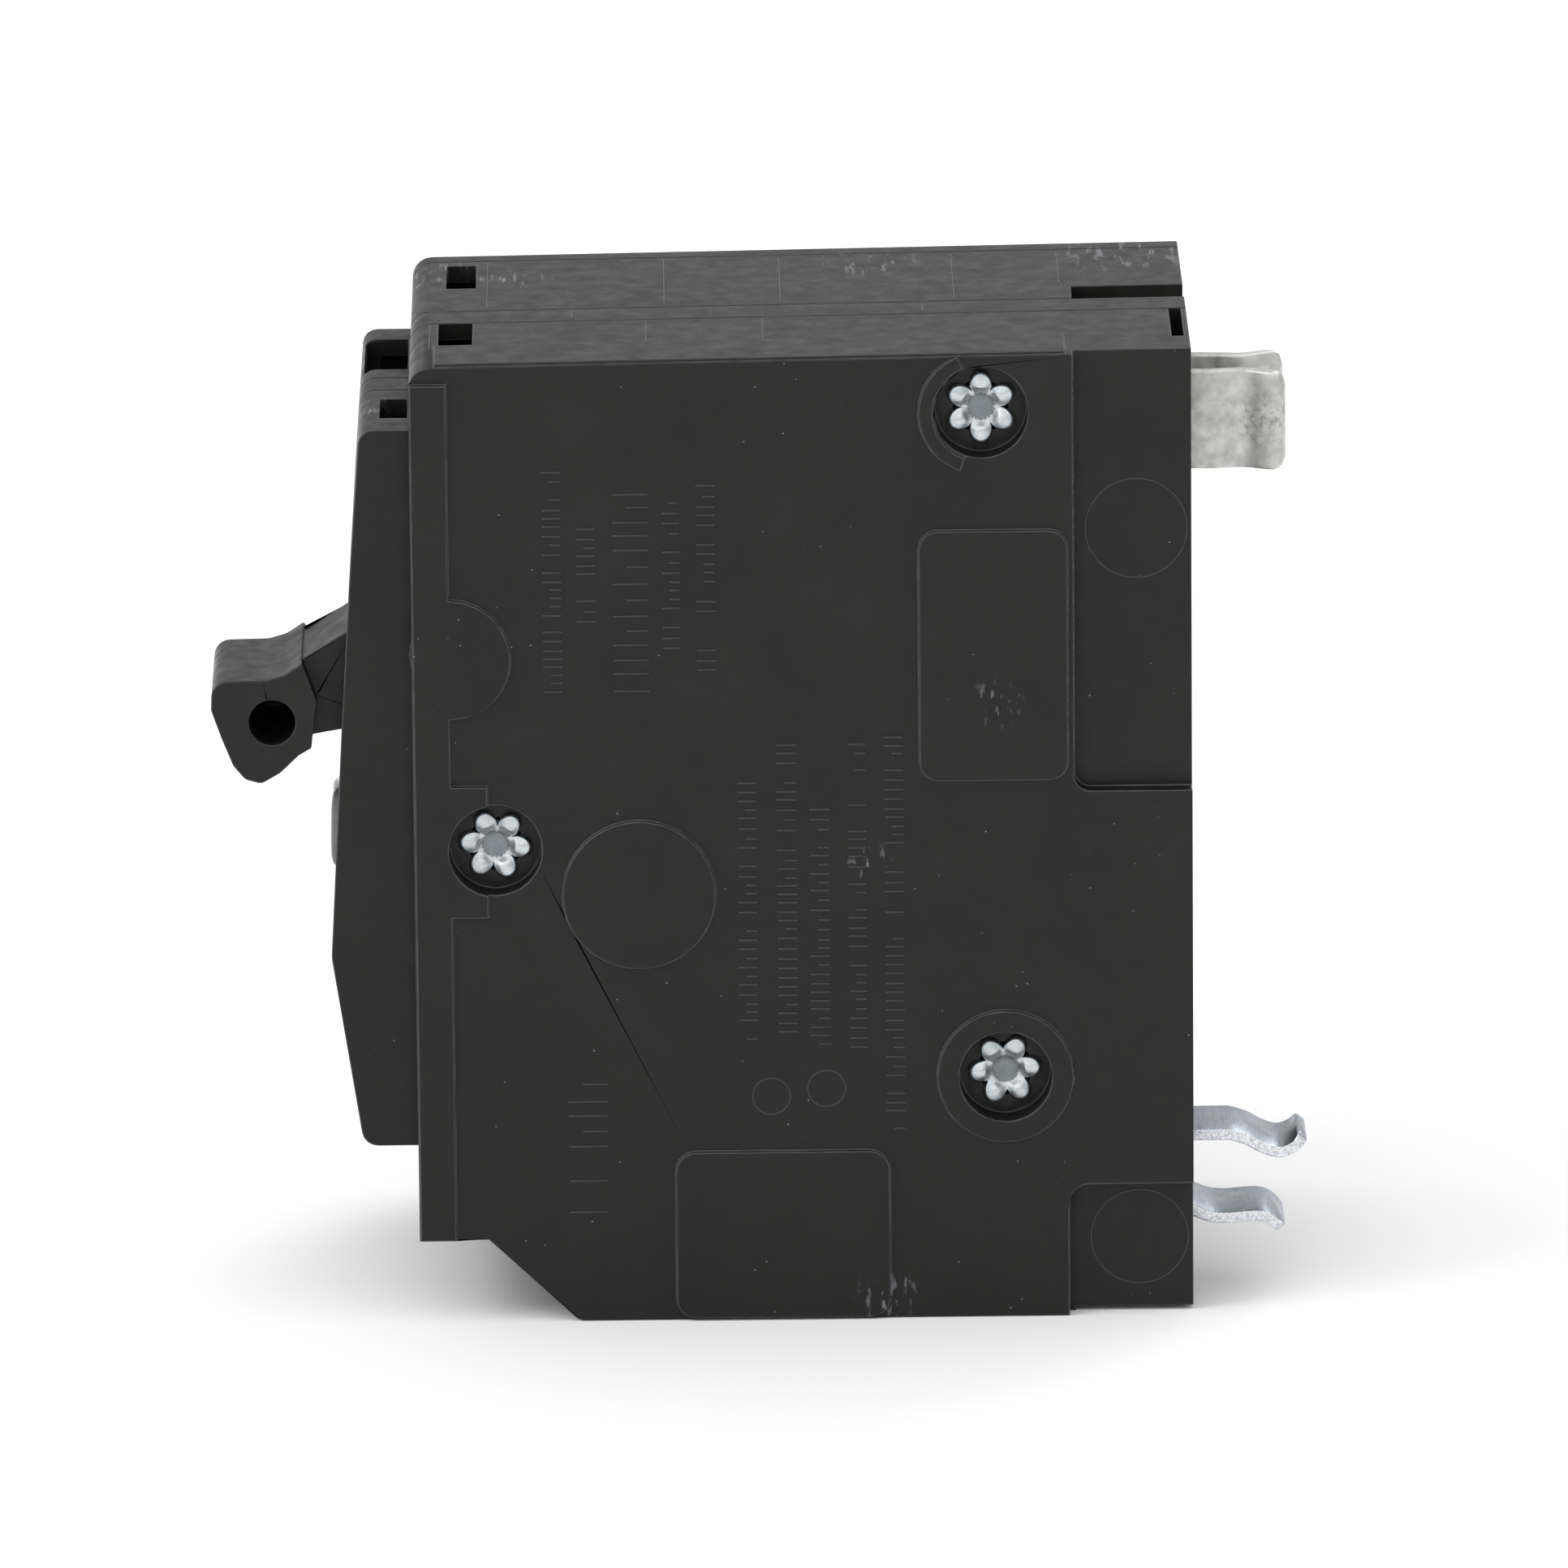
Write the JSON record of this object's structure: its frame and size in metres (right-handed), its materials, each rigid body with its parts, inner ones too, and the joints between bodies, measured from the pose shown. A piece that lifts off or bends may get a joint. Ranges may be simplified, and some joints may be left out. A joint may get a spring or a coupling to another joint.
{
  "type": "circuit breaker",
  "caption": "Plug-on moulded-case circuit breaker: a toggle-handled switching pole with a trip accessory module beside it, sprung line jaw, rail clip and box lug.",
  "frame": {"origin": "centre of the bounding box at the load-end foot, with the breaker standing on that foot", "axes": "-X the front with the handle, +X the side that plugs into the panel, +Z the line end, +Y across the poles"},
  "size_m": [0.0874, 0.0382, 0.0797],
  "materials": {
    "black_moulding": "moulded thermoset, satin with a fine grain",
    "handle_moulding": "moulded thermoset, satin",
    "tinned_copper": "matte tin plating, mottled",
    "zinc_steel": "bluish bright zinc plating",
    "copper": "bare copper",
    "silver_contact": "silver alloy contact face",
    "spring_steel": "oiled spring steel",
    "bimetal_strip": "rolled bimetal",
    "arc_fibre": "vulcanised fibre",
    "flag_red": "moulded red plastic",
    "clear_lens": "clear moulded plastic",
    "bobbin_nylon": "natural nylon",
    "brass": "machined brass"
  },
  "bodies": {
    "case": {"accessory_base": "black_moulding", "accessory_cover": "black_moulding", "arc_plate_1": "zinc_steel", "arc_plate_2": "zinc_steel", "arc_plate_3": "zinc_steel", "arc_plate_4": "zinc_steel", "arc_plate_5": "zinc_steel", "arc_plate_6": "zinc_steel", "arc_side_far": "arc_fibre", "arc_side_near": "arc_fibre", "arm_pin": "zinc_steel", "bimetal": "bimetal_strip", "braid": "copper", "calibration_screw": "brass", "clearing_switch": "arc_fibre", "coil_bobbin": "bobbin_nylon", "coil_frame": "zinc_steel", "coil_winding": "copper", "control_terminal_1": "brass", "control_terminal_2": "brass", "cradle_pin": "zinc_steel", "fixed_contact": "silver_contact", "handle_pin": "zinc_steel", "indicator_lens": "clear_lens", "lever_pin": "zinc_steel", "line_jaw": "tinned_copper", "load_terminal": "tinned_copper", "lug_body": "tinned_copper", "magnet_yoke": "zinc_steel", "operating_spring": "spring_steel", "plunger_spring": "spring_steel", "pole_base": "black_moulding", "pole_cover": "black_moulding", "rail_clip": "zinc_steel", "rivet_front": "zinc_steel", "rivet_line_end": "zinc_steel", "rivet_load_end": "zinc_steel"},
    "handle": {"handle": "handle_moulding"},
    "contact_arm": {"contact_arm": "copper", "moving_contact": "silver_contact"},
    "cradle": {"cradle": "spring_steel"},
    "trip_flag": {"trip_flag": "flag_red"},
    "armature": {"armature": "zinc_steel"},
    "pressure_plate": {"pressure_plate": "zinc_steel"},
    "lug_screw": {"lug_screw": "zinc_steel"},
    "plunger": {"plunger": "zinc_steel"},
    "trip_lever": {"trip_lever": "bobbin_nylon"},
    "switch_button": {"switch_button": "bobbin_nylon"},
    "control_screw_1": {"control_screw_1": "zinc_steel"},
    "control_screw_2": {"control_screw_2": "zinc_steel"}
  },
  "joints": [
    {"name": "handle_swing", "type": "hinge", "parent": "case", "child": "handle", "pos_m": [-0.02478, -0.00953, 0.05495], "axis": [0, 1, 0], "range_deg": [0, 42]},
    {"name": "contact_swing", "type": "hinge", "parent": "case", "child": "contact_arm", "pos_m": [-0.01218, -0.0095, 0.0615], "axis": [0, 1, 0], "range_deg": [-18, 0]},
    {"name": "cradle_trip", "type": "hinge", "parent": "case", "child": "cradle", "pos_m": [-0.00968, -0.013, 0.071], "axis": [0, 1, 0], "range_deg": [0, 12]},
    {"name": "flag_rise", "type": "slide", "parent": "case", "child": "trip_flag", "axis": [0, 0, 1], "range_m": [0, 0.008]},
    {"name": "armature_swing", "type": "hinge", "parent": "case", "child": "armature", "pos_m": [-0.00328, -0.01025, 0.0276], "axis": [0, 1, 0], "range_deg": [0, 4.5], "stiffness_Nm_per_rad": 0.006},
    {"name": "plate_travel", "type": "slide", "parent": "case", "child": "pressure_plate", "axis": [1, 0, 0], "range_m": [0, 0.0036]},
    {"name": "lug_screw_turn", "type": "hinge", "parent": "pressure_plate", "child": "lug_screw", "pos_m": [-0.01838, -0.00953, 0.012], "axis": [1, 0, 0], "range_deg": [0, 1620]},
    {"name": "plunger_stroke", "type": "slide", "parent": "case", "child": "plunger", "axis": [-1, 0, 0], "range_m": [0, 0.0015], "stiffness_N_per_m": 60},
    {"name": "trip_lever_swing", "type": "hinge", "parent": "case", "child": "trip_lever", "pos_m": [-0.01268, 0.0093, 0.047], "axis": [0, 1, 0], "range_deg": [0, 12]},
    {"name": "switch_button_press", "type": "slide", "parent": "case", "child": "switch_button", "axis": [0, 0, -1], "range_m": [0, 0.001], "stiffness_N_per_m": 120},
    {"name": "control_screw_1_turn", "type": "hinge", "parent": "case", "child": "control_screw_1", "pos_m": [-0.02158, 0.0054, 0.012], "axis": [1, 0, 0], "range_deg": [0, 720]},
    {"name": "control_screw_2_turn", "type": "hinge", "parent": "case", "child": "control_screw_2", "pos_m": [-0.02158, 0.0126, 0.012], "axis": [1, 0, 0], "range_deg": [0, 720]}
  ],
  "couplings": [
    {"joint": "contact_swing", "follows": "handle_swing", "ratio": -0.42857},
    {"joint": "flag_rise", "follows": "cradle_trip", "m_per_rad": 0.03819},
    {"joint": "lug_screw_turn", "follows": "plate_travel", "rad_per_m": 7854},
    {"joint": "trip_lever_swing", "follows": "plunger_stroke", "rad_per_m": 139}
  ]
}
